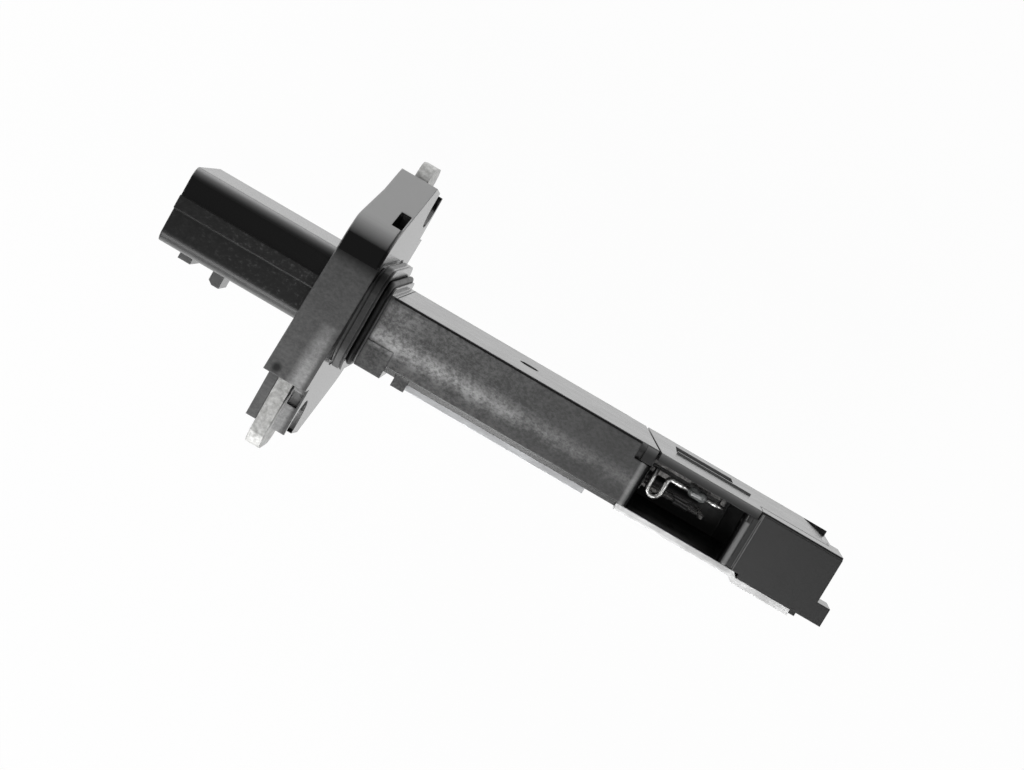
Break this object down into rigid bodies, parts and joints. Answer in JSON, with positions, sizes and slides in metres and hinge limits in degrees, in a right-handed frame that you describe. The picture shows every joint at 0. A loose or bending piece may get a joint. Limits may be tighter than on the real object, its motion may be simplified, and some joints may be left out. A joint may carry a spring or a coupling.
{
  "type": "mass airflow sensor",
  "caption": "Plug-in mass air flow sensor: flat probe with an air window and a glass temperature bead, a sealed neck, a flange with two eared steel lugs and a plug socket.",
  "frame": {"origin": "on the probe's axis, in the plane of the flange's mounting face, at the middle of the neck", "axes": "+Z along the probe's axis towards the connector; +X across the thin side of the probe, towards the side with the covers; the air window faces -Y, along which the air arrives"},
  "size_m": [0.051, 0.0456, 0.1217],
  "materials": {
    "housing_plastic": "fine moulded grain",
    "cover_plastic": "fine moulded grain",
    "seal_rubber": "smooth",
    "lug_steel": "stamped and tinned",
    "plate_aluminium": "plain",
    "sheet_steel": "bright",
    "board_ceramic": "ceramic, satin",
    "chip_black": "moulded",
    "capacitor_tan": "ceramic",
    "terminal_metal": "plated",
    "pin_metal": "plated",
    "post_metal": "dull nickel",
    "bead_glass": "dark glass over the sensor",
    "element_ceramic": "dark glaze",
    "filter_black": "porous"
  },
  "bodies": {
    "root": {"housing": "housing_plastic", "mounting_lug_left": "lug_steel", "mounting_lug_right": "lug_steel", "seal_ring": "seal_rubber", "circuit_cover": "cover_plastic", "vent_filter": "filter_black", "passage_cover": "cover_plastic", "base_plate": "plate_aluminium", "back_sheet": "sheet_steel", "circuit_board": "board_ceramic", "control_chip": "chip_black", "power_transistor": "chip_black", "capacitors": "capacitor_tan", "resistors": "chip_black", "terminal_1": "terminal_metal", "terminal_2": "terminal_metal", "terminal_3": "terminal_metal", "terminal_4": "terminal_metal", "terminal_5": "terminal_metal", "bond_wires": "pin_metal", "pin_bonds": "pin_metal", "bead_post_short": "post_metal", "bead_post_long": "post_metal", "bead_glass": "bead_glass", "bead_lead_looped": "pin_metal", "bead_lead_straight": "pin_metal", "element_pins": "post_metal", "heated_element": "element_ceramic", "unheated_element": "element_ceramic"}
  },
  "joints": []
}
